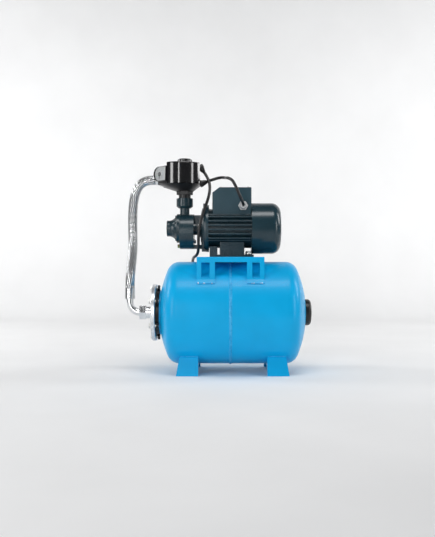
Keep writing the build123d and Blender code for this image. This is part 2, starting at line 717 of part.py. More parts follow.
FAN_COVER_X = 53.0
COVER_SHEET = 2.0

with BuildPart() as fan_cover:
    with BuildSketch(Plane.XZ):
        with BuildLine():
            Line((FAN_COVER_X, SHAFT_Z + FAN_COVER_R), (107, SHAFT_Z + FAN_COVER_R))
            ThreePointArc((107, SHAFT_Z + 70), (124.7, SHAFT_Z + 62.7), (FAN_COVER_END_X, SHAFT_Z + 45))
            Polyline(
                (FAN_COVER_END_X, SHAFT_Z + 45), (FAN_COVER_END_X, SHAFT_Z),
                (FAN_COVER_END_X - COVER_SHEET, SHAFT_Z), (FAN_COVER_END_X - COVER_SHEET, SHAFT_Z + 45),
            )
            ThreePointArc((130, SHAFT_Z + 45), (123.3, SHAFT_Z + 61.3), (107, SHAFT_Z + 68))
            Polyline((107, SHAFT_Z + 68), (FAN_COVER_X, SHAFT_Z + 68), (FAN_COVER_X, SHAFT_Z + FAN_COVER_R))
        make_face()
    revolve(axis=SHAFT_AXIS)
    with BuildSketch(across(FAN_COVER_END_X - 5, SHAFT_Z)):
        with PolarLocations(33.5, 24):
            SlotOverall(21, 4)
        with PolarLocations(16, 12):
            SlotOverall(9, 4)
    extrude(amount=8, mode=Mode.SUBTRACT)
    for turned in (45, 135, 225, 315):
        lean = Plane(
            origin=(FAN_COVER_X + 2.2, 0, SHAFT_Z),
            x_dir=(1, 0, 0),
            z_dir=(0, math.cos(math.radians(turned)), math.sin(math.radians(turned))),
        )
        with BuildSketch(lean.offset(60)):
            Circle(1.6)
        extrude(amount=15, mode=Mode.SUBTRACT)
fan_cover.part.label = "fan_cover"
export_step(fan_cover.part, "parts/fan_cover.step")

with BuildPart() as fan_cover_screws:
    for turned in (45, 135, 225, 315):
        lean = Plane(
            origin=(FAN_COVER_X + 2.2, 0, SHAFT_Z),
            x_dir=(1, 0, 0),
            z_dir=(0, math.cos(math.radians(turned)), math.sin(math.radians(turned))),
        )
        with BuildSketch(lean.offset(FAN_COVER_R)):
            Circle(3.2)
        extrude(amount=1.8)
        with BuildSketch(lean.offset(FAN_COVER_R - 2.1)):
            Circle(1.6)
        extrude(amount=2.1)
fan_cover_screws.part.label = "fan_cover_screws"
export_step(fan_cover_screws.part, "parts/fan_cover_screws.step")

FOOT_PAD_Z = 324.0
FOOT_BOLTS_X = (-50.0, 44.0)

with BuildPart() as motor_foot:
    block((-62, 57), (-52, 52), (PLATFORM_Z, PLATFORM_Z + 7))
    block((-35, 32), (-47, 47), (PLATFORM_Z, 356))
    block((-62, -42), (-52, -47), (PLATFORM_Z, 344))
    block((-62, -42), (47, 52), (PLATFORM_Z, 344))
    block((-62, -59), (-52, 52), (PLATFORM_Z, 338))
    fillet(motor_foot.edges().filter_by(Axis.Z).group_by(SortBy.LENGTH)[-1], radius=3)
    disc(-80, 80, BARREL_R, SHAFT_Z, mode=Mode.SUBTRACT)
    for x in FOOT_BOLTS_X:
        for y in (-38, 38):
            post(PLATFORM_Z, FOOT_PAD_Z, 9, x, y)
            post(PLATFORM_Z - 1, FOOT_PAD_Z + 1, 4, x, y, mode=Mode.SUBTRACT)
motor_foot.part.label = "motor_foot"
export_step(motor_foot.part, "parts/motor_foot.step")

with BuildPart() as foot_bolts:
    for x in FOOT_BOLTS_X:
        for y in (-38, 38):
            post(FOOT_PAD_Z, FOOT_PAD_Z + 2, 8, x, y)
            hex_bolt(Plane(origin=(x, y, FOOT_PAD_Z + 2)), 7.2, 6, 4, 13)
            post(PLATFORM_Z - SHEET - 6, PLATFORM_Z - SHEET, 6.5, x, y)
            post(PLATFORM_Z - SHEET - 8, PLATFORM_Z - SHEET - 6, 4, x, y)
foot_bolts.part.label = "foot_bolts"
export_step(foot_bolts.part, "parts/foot_bolts.step")


# ---- terminal box ----
INSIDE_FLOOR_Z = 454.0
LID_SCREWS = [(x, y) for x in (-31.0, 43.9) for y in (-37.5, 37.5)]

with BuildPart() as terminal_box:
    block(BOX_X, (-BOX_HALF_Y, BOX_HALF_Y), BOX_Z[0:2])
    fillet(terminal_box.edges().filter_by(Axis.Z), radius=4)
    block(
        (BOX_X[0] + BOX_WALL, BOX_X[1] - BOX_WALL),
        (-BOX_HALF_Y + BOX_WALL, BOX_HALF_Y - BOX_WALL),
        (INSIDE_FLOOR_Z, BOX_Z[1] + 1),
        mode=Mode.SUBTRACT,
    )
    disc(-80, 80, BARREL_R, SHAFT_Z, mode=Mode.SUBTRACT)
    block((-52, 50), (-30, 30), (SHAFT_Z + 30, SHAFT_Z + 56), mode=Mode.SUBTRACT)
terminal_box.part.label = "terminal_box"
export_step(terminal_box.part, "parts/terminal_box.step")

with BuildPart() as terminal_box_lid:
    with BuildSketch(Plane.XZ.offset(-BOX_HALF_Y)):
        with BuildLine():
            Polyline(
                (BOX_X[0], BOX_Z[1]), (BOX_X[1], BOX_Z[1]), (BOX_X[1], BOX_Z[2]), (-35, BOX_Z[2]),
                (BOX_X[0], 490), close=True,
            )
        make_face()
    extrude(amount=2 * BOX_HALF_Y)
    fillet(terminal_box_lid.edges().filter_by(Axis.Z), radius=4)
    fillet(terminal_box_lid.faces().filter_by(Axis.Z)[-1].edges().filter_by(Axis.X), radius=2.5)
    with BuildSketch(Plane.XZ.offset(-BOX_HALF_Y + BOX_WALL)):
        with BuildLine():
            Polyline(
                (BOX_X[0] + BOX_WALL, BOX_Z[1] - 1), (BOX_X[1] - BOX_WALL, BOX_Z[1] - 1),
                (BOX_X[1] - BOX_WALL, BOX_Z[2] - BOX_WALL), (-34, BOX_Z[2] - BOX_WALL),
                (BOX_X[0] + BOX_WALL, 489), close=True,
            )
        make_face()
    extrude(amount=2 * (BOX_HALF_Y - BOX_WALL), mode=Mode.SUBTRACT)
    for x, y in LID_SCREWS:
        post(BOX_Z[1], BOX_Z[2] - 2, 4.5, x, y)
        post(BOX_Z[1] - 1, BOX_Z[2] + 1, 2, x, y, mode=Mode.SUBTRACT)
terminal_box_lid.part.label = "terminal_box_lid"
export_step(terminal_box_lid.part, "parts/terminal_box_lid.step")

with BuildPart() as terminal_box_screws:
    for x, y in LID_SCREWS:
        post(BOX_Z[1] + 6, BOX_Z[2] + 1, 1.95, x, y)
        post(BOX_Z[2], BOX_Z[2] + 2.2, 3.6, x, y)
terminal_box_screws.part.label = "terminal_box_screws"
export_step(terminal_box_screws.part, "parts/terminal_box_screws.step")

with BuildPart() as terminal_block:
    block((12, 44), (10, 38), (INSIDE_FLOOR_Z, 466))
    with BuildSketch(Plane.XY.offset(460)):
        with Locations((28, 24)):
            with GridLocations(7.5, 14, 4, 2):
                Circle(2.4)
    extrude(amount=8, mode=Mode.SUBTRACT)
terminal_block.part.label = "terminal_block"
export_step(terminal_block.part, "parts/terminal_block.step")

with BuildPart() as run_capacitor:
    disc(-42, 18, 16, INSIDE_FLOOR_Z + 16, y=-15)
    disc(18, 24, 3, INSIDE_FLOOR_Z + 16, y=-21)
    disc(18, 24, 3, INSIDE_FLOOR_Z + 16, y=-9)
run_capacitor.part.label = "run_capacitor"
export_step(run_capacitor.part, "parts/run_capacitor.step")


# ---- cable glands: a hexagon and a tapered nose that grips the cable ----
GLAND_LENGTH = 20.0
GLAND_HEX_R = 10.5
GLAND_HEX_HEIGHT = 7.0
GLAND_TAPER = 16.0


def gland(plane, hex_r, mode=Mode.ADD):
    """A gland that stands on a plane and points along its normal."""
    with BuildSketch(plane) as nut:
        RegularPolygon(hex_r, 6)
    extrude(nut.sketch, amount=GLAND_HEX_HEIGHT, mode=mode)
    with BuildSketch(plane.offset(GLAND_HEX_HEIGHT)) as dome:
        Circle(hex_r * 0.84)
    extrude(dome.sketch, amount=GLAND_LENGTH - GLAND_HEX_HEIGHT, taper=GLAND_TAPER, mode=mode)


BOX_GLAND = Plane(origin=(BOX_GLAND_X, -BOX_HALF_Y, BOX_GLAND_Z), x_dir=(1, 0, 0), z_dir=(0, -1, 0))
LOWER_GLAND = Plane(origin=(-89.8, -12, 516.4), x_dir=(0, 1, 0), z_dir=(0.94, -0.1, 0.33))
UPPER_GLAND = Plane(origin=(-90, -9, 566), x_dir=(0, 1, 0), z_dir=(0.54, -0.32, -0.78))

with BuildPart() as box_gland:
    gland(BOX_GLAND, 13.5)
box_gland.part.label = "box_gland"
export_step(box_gland.part, "parts/box_gland.step")

with BuildPart() as controller_glands:
    gland(LOWER_GLAND, GLAND_HEX_R)
    gland(UPPER_GLAND, GLAND_HEX_R)
controller_glands.part.label = "controller_glands"
export_step(controller_glands.part, "parts/controller_glands.step")


# ---- electronic pump controller ----
def plan(z, inset=0.0):
    """The controller's outline seen from above at the height z, drawn in by inset."""
    with BuildSketch(Plane.XY.offset(z)) as outline:
        with BuildLine():
            Polyline((-178, -53), (-178, 34), (-168, 44), (-98, 44), (-89, 36), (-89, -38))
            ThreePointArc((-89, -38), (-134, -64), (-178, -53))
        make_face()
        if inset:
            offset(amount=-inset, mode=Mode.REPLACE, kind=Kind.INTERSECTION)
    return outline.sketch


GAUGE_NORMAL = (-math.sqrt(0.5), -math.sqrt(0.5), 0)
GAUGE_FACE = Plane(origin=GAUGE_CENTRE, x_dir=(math.sqrt(0.5), -math.sqrt(0.5), 0), z_dir=GAUGE_NORMAL)
GAUGE_TAIL = 30.0
GAUGE_RECESS = 5.0
DIAL_THICK = 1.2
LENS_THICK = 1.3
PIVOT_R = 1.0


def gauge_outline(depth, radius, tail):
    """A round end with a straight tail towards the controller, in a plane behind the gauge's face."""
    with BuildSketch(GAUGE_FACE.offset(-depth)) as shape:
        Circle(radius)
        with Locations((tail / 2, 0)):
            Rectangle(tail, 2 * radius)
    return shape.sketch


BUTTON_PLACE = (-108.0, -22.0)
BUTTON_R = 5.0
BUTTON_TRAVEL = 2.0
CAP_PORT_TOP_Z = 583.0

with BuildPart() as controller_cover:
    extrude(plan(CASE_Z[1]), amount=CASE_Z[2] - CASE_Z[1])
    fillet(controller_cover.faces().sort_by(Axis.Z)[-1].edges(), radius=4)
    extrude(gauge_outline(0, GAUGE_R, GAUGE_TAIL), amount=-GAUGE_THICK)
    extrude(plan(CASE_Z[1] - 1, CASE_WALL), amount=CASE_Z[2] - CASE_Z[1] + 1 - CASE_WALL, mode=Mode.SUBTRACT)
    extrude(gauge_outline(0, GAUGE_R - 1.8, GAUGE_TAIL - 2), amount=-GAUGE_RECESS, mode=Mode.SUBTRACT)
    post(CASE_Z[2] - 5, CASE_Z[2] + 1, G1_R + 0.4, PIPE_X, 0, mode=Mode.SUBTRACT)
    post(CASE_Z[2] - 5, CASE_Z[2] + 1, BUTTON_R + 0.2, *BUTTON_PLACE, mode=Mode.SUBTRACT)
    disc(-185, -170, G1_R + 0.4, OUTLET_Z, y=OUTLET_Y, mode=Mode.SUBTRACT)
    for plane in (LOWER_GLAND, UPPER_GLAND):
        gland(plane, GLAND_HEX_R, mode=Mode.SUBTRACT)
controller_cover.part.label = "controller_cover"
export_step(controller_cover.part, "parts/controller_cover.step")

with BuildPart() as controller_lower_case:
    for bottom_z, bottom_r, top_z, centre, size, corner_r, mode in (
        (CASE_Z[0], 25, CASE_Z[1], (-146.5, -5), (115, 92), 20, Mode.ADD),
        (CASE_Z[0] + 3, 22.5, CASE_Z[1] - CASE_WALL, (-143.5, -3.8), (96, 77), 16, Mode.SUBTRACT),
    ):
        with BuildSketch(Plane.XY.offset(bottom_z)) as bottom:
            with Locations((PIPE_X, 0)):
                Circle(bottom_r)
        with BuildSketch(Plane.XY.offset(top_z)) as top:
            with Locations(centre):
                RectangleRounded(*size, corner_r)
        loft(sections=[bottom.sketch, top.sketch], mode=mode)
    with BuildSketch(Plane.XY.offset(CASE_Z[1] - CASE_WALL - 1)):
        with Locations((-133.5, -4)):
            RectangleRounded(76, 74, 8)
    extrude(amount=CASE_WALL + 2, mode=Mode.SUBTRACT)
    block((-203, -180), (-35, -29.5), (512, 520.7))
    disc(-210, -176, NUT_R + 1, OUTLET_Z, y=OUTLET_Y, mode=Mode.SUBTRACT)
    gland(LOWER_GLAND, GLAND_HEX_R, mode=Mode.SUBTRACT)
    post(CASE_Z[0] - 1, CASE_Z[0] + 6, G1_R + 0.4, PIPE_X, 0, mode=Mode.SUBTRACT)
controller_lower_case.part.label = "controller_lower_case"
export_step(controller_lower_case.part, "parts/controller_lower_case.step")

WATERWAY_R = 12.0
SEAT_Z = 503.0
STEM_R = 2.0
POPPET_TRAVEL = 6.0

with BuildPart() as controller_valve_body:
    post(COLLAR_TOP_Z - 14, CAP_PORT_TOP_Z, G1_R, PIPE_X, 0)
    with BuildSketch(Plane.XY.offset(488)):
        with Locations((PIPE_X, 0)):
            RegularPolygon(22.5, 6)
    extrude(amount=CASE_Z[0] - 488)
    disc(-184, PIPE_X, G1_R, OUTLET_Z, y=OUTLET_Y)
    post(COLLAR_TOP_Z - 15, CAP_PORT_TOP_Z + 1, WATERWAY_R, PIPE_X, 0, mode=Mode.SUBTRACT)
    disc(-185, PIPE_X, WATERWAY_R, OUTLET_Z, y=OUTLET_Y, mode=Mode.SUBTRACT)
    post(SEAT_Z - 3, SEAT_Z, G1_R - 1, PIPE_X, 0, hole=8.5)
    block((PIPE_X - 14, PIPE_X + 14), (-4, 4), (514.5, 517.5))
    post(514, 518, STEM_R + 0.05, PIPE_X, 0, mode=Mode.SUBTRACT)
controller_valve_body.part.label = "controller_valve_body"
export_step(controller_valve_body.part, "parts/controller_valve_body.step")

with BuildPart() as check_valve_poppet:
    turn(
        [
            (PIPE_X, SEAT_Z - 2), (PIPE_X + 7, SEAT_Z - 2), (PIPE_X + 8, SEAT_Z + 0.3),
            (PIPE_X + 10.5, SEAT_Z + 0.3), (PIPE_X + 10.5, SEAT_Z + 3), (PIPE_X + STEM_R, SEAT_Z + 4.5),
            (PIPE_X + STEM_R, 525), (PIPE_X, 525),
        ],
        PIPE_AXIS,
    )
check_valve_poppet.part.label = "check_valve_poppet"
export_step(check_valve_poppet.part, "parts/check_valve_poppet.step")

with BuildPart() as outlet_cap:
    turn(
        [
            (PIPE_X, CAP_PORT_TOP_Z), (PIPE_X + G1_R, CAP_PORT_TOP_Z), (PIPE_X + G1_R, CASE_Z[2] + 1),
            (PIPE_X + 20.5, CASE_Z[2] + 1), (PIPE_X + 20.5, CAP_PORT_TOP_Z + 1.5),
            (PIPE_X + 18, CAP_PORT_TOP_Z + 4), (PIPE_X, CAP_PORT_TOP_Z + 4),
        ],
        PIPE_AXIS,
    )
outlet_cap.part.label = "outlet_cap"
export_step(outlet_cap.part, "parts/outlet_cap.step")

with BuildPart() as circuit_board:
    block((-160, -106), (-47, -45.4), (519, 566))
    block((-150, -130), (-45.4, -30), (530, 548))
    block((-122, -108), (-45.4, -33), (524, 540))
    block((-124, -108), (-45.4, -38), (548, 558))
circuit_board.part.label = "circuit_board"
export_step(circuit_board.part, "parts/circuit_board.step")

with BuildPart() as reset_button:
    post(568.4, 570.2, BUTTON_R + 2, *BUTTON_PLACE)
    post(570, CASE_Z[2] + BUTTON_TRAVEL + 1, BUTTON_R, *BUTTON_PLACE)
    fillet(reset_button.faces().sort_by(Axis.Z)[-1].edges(), radius=0.8)
reset_button.part.label = "reset_button"
export_step(reset_button.part, "parts/reset_button.step")

with BuildPart() as gauge_dial:
    extrude(gauge_outline(GAUGE_RECESS, GAUGE_R - 1.9, GAUGE_TAIL - 2.2), amount=DIAL_THICK)
    with BuildSketch(GAUGE_FACE.offset(-GAUGE_RECESS)):
        Circle(PIVOT_R)
    extrude(amount=GAUGE_RECESS - LENS_THICK - 0.2)
gauge_dial.part.label = "gauge_dial"
export_step(gauge_dial.part, "parts/gauge_dial.step")

with BuildPart() as gauge_needle:
    with BuildSketch(GAUGE_FACE.offset(DIAL_THICK + 0.4 - GAUGE_RECESS)):
        Circle(4.6)
        with BuildLine():
            Polyline((-1.2, 0), (-0.4, -13.5), (0.4, -13.5), (1.2, 0), close=True)
        make_face()
        Circle(PIVOT_R + 0.05, mode=Mode.SUBTRACT)
    extrude(amount=1.2)
gauge_needle.part.label = "gauge_needle"
export_step(gauge_needle.part, "parts/gauge_needle.step")

with BuildPart() as gauge_lens:
    extrude(gauge_outline(LENS_THICK, GAUGE_R - 1.9, GAUGE_TAIL - 2.2), amount=LENS_THICK)
gauge_lens.part.label = "gauge_lens"
export_step(gauge_lens.part, "parts/gauge_lens.step")


# ---- hose between the controller and the tank ----
ELBOW_R = 9.75
ELBOW_BEND_R = 29.0

with BuildPart() as union_nuts:
    for end_x, mouth_x, y, z in ((-256, -238, 0, TANK_Z), (-198, -181, OUTLET_Y, OUTLET_Z)):
        with BuildSketch(across(end_x, z, y)):
            RegularPolygon(NUT_R, 6)
        extrude(amount=mouth_x - end_x)
        disc(end_x + 10, mouth_x + 1, G1_R, z, y=y, mode=Mode.SUBTRACT)
        disc(end_x - 1, end_x + 11, ELBOW_R + 0.3, z, y=y, mode=Mode.SUBTRACT)
union_nuts.part.label = "union_nuts"
export_step(union_nuts.part, "parts/union_nuts.step")

with BuildPart() as tank_elbow:
    with BuildLine() as elbow_path:
        FilletPolyline((-244, 0, TANK_Z), (ELBOW_X, 0, TANK_Z), (ELBOW_X, 0, 228), radius=ELBOW_BEND_R)
    with BuildSketch(across(-244, TANK_Z)):
        Circle(ELBOW_R)
        Circle(ELBOW_R - 2, mode=Mode.SUBTRACT)
    sweep(path=elbow_path.line)
    disc(-246, -242, G1_R - 0.4, TANK_Z, hole=ELBOW_R - 2)
tank_elbow.part.label = "tank_elbow"
export_step(tank_elbow.part, "parts/tank_elbow.step")

with BuildPart() as hose_tail:
    disc(-211, -186, ELBOW_R, OUTLET_Z, y=OUTLET_Y, hole=ELBOW_R - 2)
    disc(-188, -184, G1_R - 0.4, OUTLET_Z, y=OUTLET_Y, hole=ELBOW_R - 2)
hose_tail.part.label = "hose_tail"
export_step(hose_tail.part, "parts/hose_tail.step")

with BuildPart() as hose_ferrules:
    post(201, 230, FERRULE_R, ELBOW_X, 0, hole=ELBOW_R)
    disc(-213, -198, FERRULE_R, OUTLET_Z, y=OUTLET_Y, hole=ELBOW_R)
hose_ferrules.part.label = "hose_ferrules"
export_step(hose_ferrules.part, "parts/hose_ferrules.step")

HOSE_ROUTE = [
    (-213, OUTLET_Y, OUTLET_Z), (-231, OUTLET_Y, OUTLET_Z), (-250, 8.5, 523.6), (-263.5, 10.5, 509.5),
    (-271.5, 14.5, 491), (-277, 22, 467), (-280, 30.5, 439), (-281, 37, 407), (-280.5, 37.5, 374),
    (-279.5, 31, 343), (-280.5, 20.5, 312), (-282.5, 9, 281), (ELBOW_X, 0, 252), (ELBOW_X, 0, 230),
]

with BuildPart() as hose:
    hose_length = tube(HOSE_ROUTE, HOSE_D)
hose.part.label = "hose"
export_step(hose.part, "parts/hose.step")
report("hose", hose.part, HOSE_ROUTE, HOSE_D, hose_length)


# ---- cables ----
def mouth(plane, length):
    """The point in the middle of a gland's nose."""
    end = plane.origin + plane.z_dir * length
    return (end.X, end.Y, end.Z)


JUMPER_ROUTE = [
    mouth(LOWER_GLAND, GLAND_LENGTH), mouth(LOWER_GLAND, GLAND_LENGTH + 16), (-35.5, -25.5, 532.5),
    (-22, -44.5, 532), (-19, -69, 529), (-17, -94.5, 525.5), (-8.5, -112.5, 513.5), (3.5, -120.5, 495),
    (15.5, -116, 475.5), (24.5, -101, 461), mouth(BOX_GLAND, GLAND_LENGTH + 14),
    mouth(BOX_GLAND, GLAND_LENGTH),
]

with BuildPart() as jumper_cable:
    jumper_length = tube(JUMPER_ROUTE, CABLE_D)
jumper_cable.part.label = "jumper_cable"
export_step(jumper_cable.part, "parts/jumper_cable.step")
report("jumper_cable", jumper_cable.part, JUMPER_ROUTE, CABLE_D, jumper_length)

LEAD_ROUTE = [
    mouth(UPPER_GLAND, GLAND_LENGTH), mouth(UPPER_GLAND, GLAND_LENGTH + 20), (-61.5, -34, 512.5),
    (-62, -47, 490), (-68, -55, 466), (-76.5, -60, 442), (-85, -62.5, 417), (-90.5, -62.5, 391),
    (-92, -59, 365), (-92, -50, 341.5), (-94.5, -33.5, 325.5), (-101.5, -11.5, 318.5), (-107.5, 12, 316),
    (-111, 36.5, 310.5), (-113, 60, 303), (-115, 83, 291.5), (-117.5, 105.5, 275), (-120, 125, 252.5),
    (-122.5, 140.5, 224.5), (-124.5, 151, 192.5), (-126.5, 157, 158), (-128, 159.5, 123), (-129.5, 160.5, 90),
    (-130.5, 166, 62), (-131.5, 177.5, 37), (-133, 194, 18), (-135.5, 215, 6.5), (-139, 240, 4),
    (-143, 264, 4), (-146.5, 284, 4), (-148, 303, 4),
]

with BuildPart() as mains_lead:
    lead_length = tube(LEAD_ROUTE, CABLE_D)
mains_lead.part.label = "mains_lead"
export_step(mains_lead.part, "parts/mains_lead.step")
report("mains_lead", mains_lead.part, LEAD_ROUTE, CABLE_D, lead_length)

with BuildPart() as mains_lead_coil:
    post(0, 2 * CABLE_D, COIL_R + CABLE_D, *COIL_CENTRE, hole=COIL_R - CABLE_D)
mains_lead_coil.part.label = "mains_lead_coil"
export_step(mains_lead_coil.part, "parts/mains_lead_coil.step")

PLUG_AXIS_Y = COIL_CENTRE[1] + COIL_R + 3
PLUG_AXIS_Z = 16.0
PLUG_X = -76.0

with BuildPart() as mains_plug:
    with BuildSketch(Plane.XZ.offset(-PLUG_AXIS_Y)) as plug_profile:
        with BuildLine():
            Polyline(
                (PLUG_X, PLUG_AXIS_Z), (PLUG_X, PLUG_AXIS_Z + 5), (PLUG_X + 28, PLUG_AXIS_Z + 7.5),
                (PLUG_X + 32, PLUG_AXIS_Z + 11), (PLUG_X + 48, PLUG_AXIS_Z + 14.5),
                (PLUG_X + 62, PLUG_AXIS_Z + 15.5), (PLUG_X + 64, PLUG_AXIS_Z + 14.5),
                (PLUG_X + 64, PLUG_AXIS_Z), close=True,
            )
        make_face()
    revolve(axis=Axis((0, PLUG_AXIS_Y, PLUG_AXIS_Z), (1, 0, 0)))
    for side in (-9.5, 9.5):
        disc(PLUG_X + 64, PLUG_X + 83, 2.4, PLUG_AXIS_Z, y=PLUG_AXIS_Y + side)
mains_plug.part.label = "mains_plug"
export_step(mains_plug.part, "parts/mains_plug.step")
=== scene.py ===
"""Looks for the pressure water set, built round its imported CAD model.

Everything is in metres in the CAD model's frame. Only the cords' routes are in millimetres.
"""

import math

import bmesh
import bpy
from mathutils import Matrix, Vector


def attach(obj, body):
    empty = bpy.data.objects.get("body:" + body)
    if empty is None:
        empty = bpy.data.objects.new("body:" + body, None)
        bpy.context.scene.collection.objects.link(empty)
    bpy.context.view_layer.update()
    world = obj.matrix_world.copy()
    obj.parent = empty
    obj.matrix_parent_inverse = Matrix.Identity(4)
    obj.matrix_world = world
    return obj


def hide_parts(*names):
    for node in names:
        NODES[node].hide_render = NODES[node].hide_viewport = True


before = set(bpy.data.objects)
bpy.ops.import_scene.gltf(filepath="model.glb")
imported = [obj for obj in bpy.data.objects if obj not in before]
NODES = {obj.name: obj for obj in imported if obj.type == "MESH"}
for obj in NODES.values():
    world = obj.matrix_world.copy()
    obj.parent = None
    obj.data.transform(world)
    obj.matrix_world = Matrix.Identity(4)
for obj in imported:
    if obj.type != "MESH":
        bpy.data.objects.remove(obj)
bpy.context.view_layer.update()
BASE = "pump_set"
MM = 0.001


# ---- camera ----
CAMERA_PLACE = (-0.0205, -2.0, 0.2844)
LENS = 48.4
SHIFT_X = -0.014


def aim(thing, target):
    """Turns a camera or light so that it looks at a point."""
    thing.rotation_euler = (Vector(target) - thing.location).to_track_quat("-Z", "Y").to_euler()


camera = bpy.data.objects.new("camera", bpy.data.cameras.new("camera"))
bpy.context.collection.objects.link(camera)
camera.location = CAMERA_PLACE
camera.rotation_euler = (math.radians(90), 0, 0)
camera.data.lens = LENS
camera.data.shift_x = SHIFT_X
bpy.context.scene.camera = camera
bpy.context.scene.view_settings.view_transform = "Standard"


# ---- materials ----
NOISE_LOW, NOISE_HIGH = 0.3, 0.7  # most of a noise texture's values lie between these
COAT_ROUGHNESS = 0.06


class Nodes:
    """A material's node tree, with short ways to add and join nodes."""

    def __init__(self, name):
        self.material = bpy.data.materials.new(name)
        self.material.use_nodes = True
        self.tree = self.material.node_tree
        self.shader = self.tree.nodes["Principled BSDF"]
        self.place = self.add("ShaderNodeTexCoord")

    def add(self, kind, **settings):
        node = self.tree.nodes.new(kind)
        for key, value in settings.items():
            setattr(node, key, value)
        return node

    def link(self, source, target):
        self.tree.links.new(source, target)

    def math(self, operation, first, second=0.0):
        node = self.add("ShaderNodeMath", operation=operation)
        for socket, value in zip(node.inputs, (first, second)):
            if isinstance(value, (int, float)):
                socket.default_value = value
            else:
                self.link(value, socket)
        return node.outputs[0]

    def noise(self, scale, detail=4.0, stretch=(1, 1, 1)):
        """Noise with features about 1 / scale metres across, longer where stretch is under 1."""
        mapping = self.add("ShaderNodeMapping")
        mapping.inputs["Scale"].default_value = stretch
        self.link(self.place.outputs["Object"], mapping.inputs["Vector"])
        texture = self.add("ShaderNodeTexNoise")
        texture.inputs["Scale"].default_value = scale
        texture.inputs["Detail"].default_value = detail
        self.link(mapping.outputs["Vector"], texture.inputs["Vector"])
        return texture.outputs["Fac"]

    def spread(self, value, low, high):
        node = self.add("ShaderNodeMapRange")
        node.inputs["From Min"].default_value = NOISE_LOW
        node.inputs["From Max"].default_value = NOISE_HIGH
        node.inputs["To Min"].default_value = low
        node.inputs["To Max"].default_value = high
        self.link(value, node.inputs["Value"])
        return node.outputs["Result"]

    def colour(self, value, dark, light):
        ramp = self.add("ShaderNodeValToRGB")
        ramp.color_ramp.elements[0].position = NOISE_LOW
        ramp.color_ramp.elements[1].position = NOISE_HIGH
        ramp.color_ramp.elements[0].color = (*dark, 1)
        ramp.color_ramp.elements[1].color = (*light, 1)
        self.link(value, ramp.inputs["Fac"])
        self.link(ramp.outputs["Color"], self.shader.inputs["Base Color"])

    def bump(self, height, depth, strength=1.0):
        """Raises the surface by up to depth metres; a second call adds to the first."""
        node = self.add("ShaderNodeBump")
        node.inputs["Distance"].default_value = depth
        node.inputs["Strength"].default_value = strength
        self.link(height, node.inputs["Height"])
        before = self.shader.inputs["Normal"].links
        if before:
            self.link(before[0].from_socket, node.inputs["Normal"])
        self.link(node.outputs["Normal"], self.shader.inputs["Normal"])


def finish(
    name, dark, light, rough, metallic=0.0, patch=25, grain=900, depth=0.00004,
    stretch=(1, 1, 1), coat=0.0, shine=0.5,
):
    """A finish with slow colour change over patches, uneven gloss and a fine grain."""
    made = Nodes(name)
    made.shader.inputs["Metallic"].default_value = metallic
    made.shader.inputs["Coat Weight"].default_value = coat
    made.shader.inputs["Specular IOR Level"].default_value = shine
    made.shader.inputs["Coat Roughness"].default_value = COAT_ROUGHNESS
    made.colour(made.noise(patch, 3.0, stretch), dark, light)
    fine = made.noise(grain, 5.0, stretch)
    made.link(made.spread(fine, rough - 0.05, rough + 0.06), made.shader.inputs["Roughness"])
    made.bump(fine, depth)
    return made


def ripple(made, axis, pitch, depth):
    """Waves that follow one another along an axis, as on a weld."""
    split = made.add("ShaderNodeSeparateXYZ")
    made.link(made.place.outputs["Object"], split.inputs["Vector"])
    wave = made.math("SINE", made.math("MULTIPLY", split.outputs[axis], 2 * math.pi / pitch))
    made.bump(wave, depth, 0.6)


def braid(made, pitch, strands, depth):
    """Two crossing sets of strands, by a tube's UVs: metres along it and turns round it; the colour
    goes dark between the strands as painted shade.
    """
    split = made.add("ShaderNodeSeparateXYZ")
    made.link(made.place.outputs["UV"], split.inputs["Vector"])
    along = made.math("DIVIDE", split.outputs["X"], pitch)
    around = made.math("MULTIPLY", split.outputs["Y"], strands)
    waves = []
    for way in ("ADD", "SUBTRACT"):
        turns = made.math(way, along, around)
        wave = made.math("SINE", made.math("MULTIPLY", turns, math.pi))
        waves.append(made.math("ABSOLUTE", wave))
    crossing = made.math("MULTIPLY", waves[0], waves[1])
    wires = made.math("SINE", made.math("MULTIPLY", waves[0], 3 * math.pi))
    wires = made.math("MULTIPLY", made.math("ABSOLUTE", wires), 0.25)
    made.bump(made.math("ADD", crossing, wires), depth)
    # painted shade: the base colour goes dark in the grooves between the strands and light on their
    # crests
    ramp = made.shader.inputs["Base Color"].links[0].from_node
    made.link(made.math("POWER", crossing, 0.6), ramp.inputs["Fac"])


tank_blue = finish("tank_blue", (0.0, 0.375, 0.73), (0.0, 0.41, 0.79), 0.34, patch=14, grain=420,
                   depth=0.00003, coat=0.08, shine=0.2)
weld_blue = finish("weld_blue", (0.0, 0.32, 0.68), (0.05, 0.46, 0.82), 0.28, patch=90, grain=700,
                   depth=0.0002, coat=0.15, shine=0.35)
cast_paint = finish("cast_paint", (0.006, 0.025, 0.036), (0.011, 0.037, 0.05), 0.27, patch=40,
                    grain=650, depth=0.00012, shine=0.55)
sheet_paint = finish("sheet_paint", (0.007, 0.028, 0.04), (0.011, 0.036, 0.049), 0.22, patch=18,
                     grain=500, depth=0.00004, shine=0.5)
box_plastic = finish("box_plastic", (0.018, 0.05, 0.068), (0.026, 0.062, 0.083), 0.36, patch=20,
                     grain=1600, depth=0.00005, shine=0.35)
case_gloss = finish("case_gloss", (0.003, 0.003, 0.0035), (0.006, 0.006, 0.007), 0.14, patch=30,
                    grain=260, depth=0.00001, coat=0.8)
case_satin = finish("case_satin", (0.005, 0.005, 0.006), (0.011, 0.011, 0.012), 0.34, patch=50,
                    grain=1500, depth=0.00006)
gland_grey = finish("gland_grey", (0.42, 0.43, 0.44), (0.55, 0.56, 0.57), 0.4, patch=80, grain=1200,
                    depth=0.00005)
galvanised = finish("galvanised", (0.66, 0.67, 0.68), (0.86, 0.87, 0.88), 0.3, metallic=0.75,
                    patch=110, grain=500, depth=0.00006)
